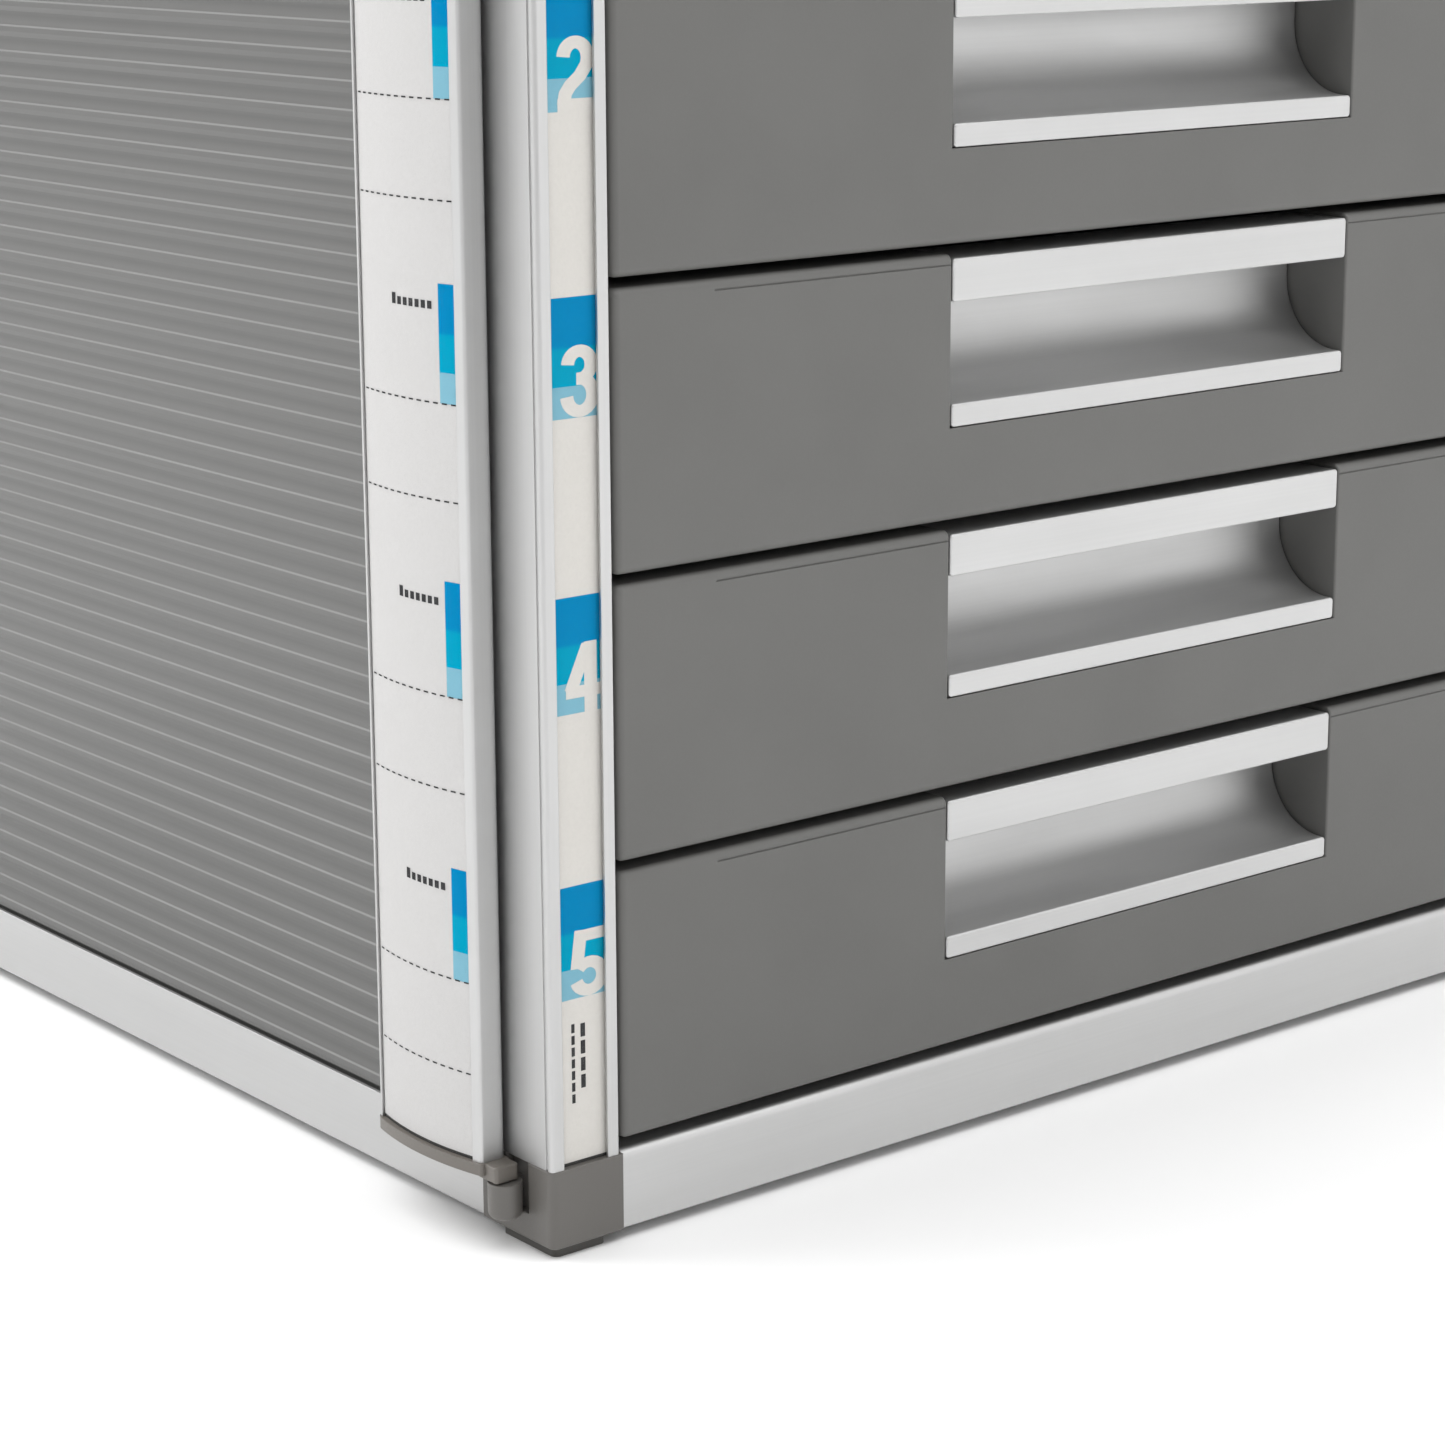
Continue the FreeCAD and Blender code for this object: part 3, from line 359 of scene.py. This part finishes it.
def number_print():
    """Three blue bands, a numeral, a few plain marks and two dark strips of painted shade at the card's
    ends, on the strip in the left post.
    """
    low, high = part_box("number_card")
    width = (high.x - low.x) / MM

    def on_card(shapes, base, lift):
        height = low.y - lift * PRINT_LIFT

        def point(x, z):
            return Vector((low.x + min(x, width) * MM, height, base + z * MM))

        return [[tuple(point(x, z) for x, z in pair) for pair in shape] for shape in shapes]

    colours = {"dark": DARK_BLUE, "mid": MID_BLUE, "pale": PALE_BLUE}
    for band, (name, colour) in enumerate(colours.items()):
        top, bottom = NUMBER_BANDS[band:band + 2]
        patches = []
        for number in DRAWERS:
            patches += on_card([rectangle(0, width, bottom, top)], drawer_base(number), 1)
        flat_piece(f"number_band_{name}", "carcass", printed(f"print_{name}", colour), patches)

    patches = []
    for number in DRAWERS:
        for order, line in enumerate(NUMERALS[number]):
            shape = [[(x + NUMERAL_OFFSET, z) for x, z in pair] for pair in stroke(line)]
            patches += on_card([shape], drawer_base(number) + NUMBER_BANDS[3] * MM, 2 + 0.1 * order)
    flat_piece("number_numerals", "carcass", printed("print_white", CARD_WHITE), patches)

    marks = []
    for left, wide, bottom, tall, pitch, count in CARD_COLUMNS:
        rows = [bottom + pitch * row for row in range(count)]
        marks += [rectangle(left, left + wide, row, row + tall) for row in rows]
    patches = on_card(marks, drawer_base(5), 1)
    flat_piece("number_marks", "carcass", printed("print_grey", INK_GREY), patches)

    # Painted shade: dark strips fill the gaps at the card's ends, where there is only shade.
    post_low, post_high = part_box("post_front_left")
    gaps = [(post_low.z, low.z), (high.z, post_high.z)]
    shapes = [[rectangle(0, width, bottom / MM, top / MM)] for bottom, top in gaps]
    gap_shades = [on_card(shape, 0.0, -GAP_SHADE_DEPTH)[0] for shape in shapes]
    gap_shade = moulded("painted_gap_shade", GAP_SHADE_BLACK, 0.7, grain=0.3, depth=0.02, edge=0.05)
    flat_piece("number_gap_shades", "carcass", gap_shade, gap_shades)


# Sizes of the print on the wing's card, in millimetres; lengths run along its bow.
WING_CARD_RADIUS = 72.15
# Longest straight piece of a print that follows the bow.
CARD_STEP = 0.8
BAR_WIDTH = 4.4
DASH_PITCH = 2.42
DASH_LENGTH = 1.35
DASH_START = 0.2
DASH_END = 0.1
DASH_HEIGHT = 0.3
DASH_HEIGHTS = (32.8, 14.4)
MARK_COUNT = 7
MARK_START = 6.2
MARK_PITCH = 1.85
MARK_WIDTH = 1.25
MARK_LOW = 50.4
MARK_SHORT = 1.5
MARK_TALL = 2.1


def wing_print():
    """Per drawer a three-tone bar, a row of marks and two dashed lines; at each end of the card a dark
    strip of painted shade.
    """
    low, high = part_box("wing_card")
    frame_low, frame_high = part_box("wing_frame")
    middle = (frame_low.y + frame_high.y) / 2
    radius = WING_CARD_RADIUS * MM
    start = (low.y - middle) / MM
    stop = (high.y - middle) / MM

    def on_card(left, right, bottom, top, base, lift=1):
        """A patch that follows the card's bow; left and right are arc lengths from its middle."""
        steps = max(2, int((right - left) / CARD_STEP))
        strip = []
        for step in range(steps + 1):
            angle = (left + (right - left) * step / steps) * MM / radius
            out = radius + lift * PRINT_LIFT
            x = low.x + radius - out * cos(angle)
            y = middle + out * sin(angle)
            strip.append((Vector((x, y, base + bottom * MM)), Vector((x, y, base + top * MM))))
        return strip

    bases = [drawer_base(number) for number in DRAWERS]
    for band, name in enumerate(("dark", "mid", "pale")):
        top, bottom = WING_BANDS[band:band + 2]
        patches = [on_card(start, start + BAR_WIDTH, bottom, top, base) for base in bases]
        flat_piece(f"wing_band_{name}", "index_wing", bpy.data.materials[f"print_{name}"], patches)

    dashes = []
    count = 1 + int((stop - start) / DASH_PITCH)
    for base in bases:
        for height in DASH_HEIGHTS:
            for number in range(count):
                left = start + DASH_START + number * DASH_PITCH
                right = min(left + DASH_LENGTH, stop - DASH_END)
                dashes.append(on_card(left, right, height, height + DASH_HEIGHT, base, lift=2))
    grey = bpy.data.materials["print_grey"]
    flat_piece("wing_dashes", "index_wing", grey, dashes)

    marks = []
    for base in bases:
        for number in range(MARK_COUNT):
            left = start + MARK_START + number * MARK_PITCH
            top = MARK_LOW + (MARK_TALL if number == MARK_COUNT - 1 else MARK_SHORT)
            marks.append(on_card(left, left + MARK_WIDTH, MARK_LOW, top, base))
    flat_piece("wing_marks", "index_wing", grey, marks)

    # Painted shade: dark strips fill the gaps at the wing card's ends, where there is only shade.
    gaps = [(frame_low.z, low.z), (high.z, frame_high.z)]
    gap_shades = [on_card(start, stop, bottom / MM, top / MM, 0.0, lift=-GAP_SHADE_DEPTH) for bottom, top in gaps]
    gap_shade = bpy.data.materials["painted_gap_shade"]
    flat_piece("wing_gap_shades", "index_wing", gap_shade, gap_shades)


# ---------------------------------------------------------------- studio

CAMERA_PLACE = (-0.5266, -0.6949, 0.2666)
CAMERA_YAW = radians(39.0)
CAMERA_PITCH = radians(-12.8)
CAMERA_ROLL = radians(-0.29)
CAMERA_LENS = 86.9
CAMERA_SENSOR = 36
CAMERA_SHIFT = -0.06


def aim_camera():
    """Stand the camera to the left of the front, a little above the middle of the cabinet."""
    data = bpy.data.cameras.new("camera")
    data.lens = CAMERA_LENS
    data.sensor_width = CAMERA_SENSOR
    data.shift_y = CAMERA_SHIFT
    level = cos(CAMERA_PITCH)
    forward = Vector((sin(CAMERA_YAW) * level, cos(CAMERA_YAW) * level, sin(CAMERA_PITCH)))
    right = Vector((cos(CAMERA_YAW), -sin(CAMERA_YAW), 0))
    up = right.cross(forward)
    lean, turn = cos(CAMERA_ROLL), sin(CAMERA_ROLL)
    right, up = right * lean + up * turn, up * lean - right * turn
    camera = bpy.data.objects.new("camera", data)
    camera.matrix_world = Matrix((right, up, -forward)).transposed().to_4x4()
    camera.location = CAMERA_PLACE
    bpy.context.scene.collection.objects.link(camera)
    bpy.context.scene.camera = camera


# Area lights, all aimed at the cabinet: place, size and power in watts.
LIGHTS = {
    "front_right": ((1.5, -1.9, 0.75), (1.8, 1.2), 9.5),
    "rear_left": ((-1.5, 1.7, 1.6), (1.8, 1.8), 34),
    "top": ((0.2, 0.0, 2.2), (3.4, 3.4), 78),
}
LIGHT_TARGET = (0.0, 0.0, 0.15)
FLOOR_REACH = 9.0
FLOOR_CLOUD = 0.6
# The surroundings get brighter along this direction, between two levels of it.
SKY_LEAN = (0.0, 0.8, 0.6)
SKY_LEVELS = (-0.5, 0.2)
SKY_STRENGTHS = (0.27, 0.63)


def soft_light(name, place, size, watts):
    data = bpy.data.lights.new(name, "AREA")
    data.shape = "RECTANGLE"
    data.size, data.size_y = size
    data.energy = watts
    light = bpy.data.objects.new(name, data)
    light.location = place
    light.rotation_euler = (Vector(LIGHT_TARGET) - Vector(place)).to_track_quat("-Z", "Y").to_euler()
    bpy.context.scene.collection.objects.link(light)


def build_floor():
    """A wide pale floor with a faint, slow variation."""
    look = Look("studio_floor", (0.93, 0.93, 0.93), 0.8)
    look.tint(look.noise(FLOOR_CLOUD), 0.985, 1.01)
    mesh = bpy.data.meshes.new("studio_floor")
    corners = [(x * FLOOR_REACH, y * FLOOR_REACH, 0) for x, y in ((-1, -1), (1, -1), (1, 1), (-1, 1))]
    mesh.from_pydata(corners, [], [(0, 1, 2, 3)])
    mesh.materials.append(look.material)
    floor = bpy.data.objects.new("studio_floor", mesh)
    bpy.context.scene.collection.objects.link(floor)


def surround():
    """White surroundings that are bright overhead and at the back, and dim low at the front."""
    world = bpy.data.worlds.new("studio")
    world.use_nodes = True
    tree = world.node_tree
    background = tree.nodes["Background"]
    background.inputs["Color"].default_value = (1.0, 1.0, 1.0, 1.0)
    direction = tree.nodes.new("ShaderNodeTexCoord")
    leaning = tree.nodes.new("ShaderNodeVectorMath")
    leaning.operation = "DOT_PRODUCT"
    leaning.inputs[1].default_value = SKY_LEAN
    ramp = tree.nodes.new("ShaderNodeMapRange")
    for socket, number in zip(("From Min", "From Max", "To Min", "To Max"), SKY_LEVELS + SKY_STRENGTHS):
        ramp.inputs[socket].default_value = number
    tree.links.new(direction.outputs["Generated"], leaning.inputs[0])
    tree.links.new(leaning.outputs["Value"], ramp.inputs["Value"])
    tree.links.new(ramp.outputs["Result"], background.inputs["Strength"])
    bpy.context.scene.world = world


def light_studio():
    for name, (place, size, watts) in LIGHTS.items():
        soft_light(name, place, size, watts)
    bpy.context.scene.view_settings.view_transform = "Standard"


dress_frame()
number_print()
wing_print()
build_floor()
aim_camera()
surround()
light_studio()
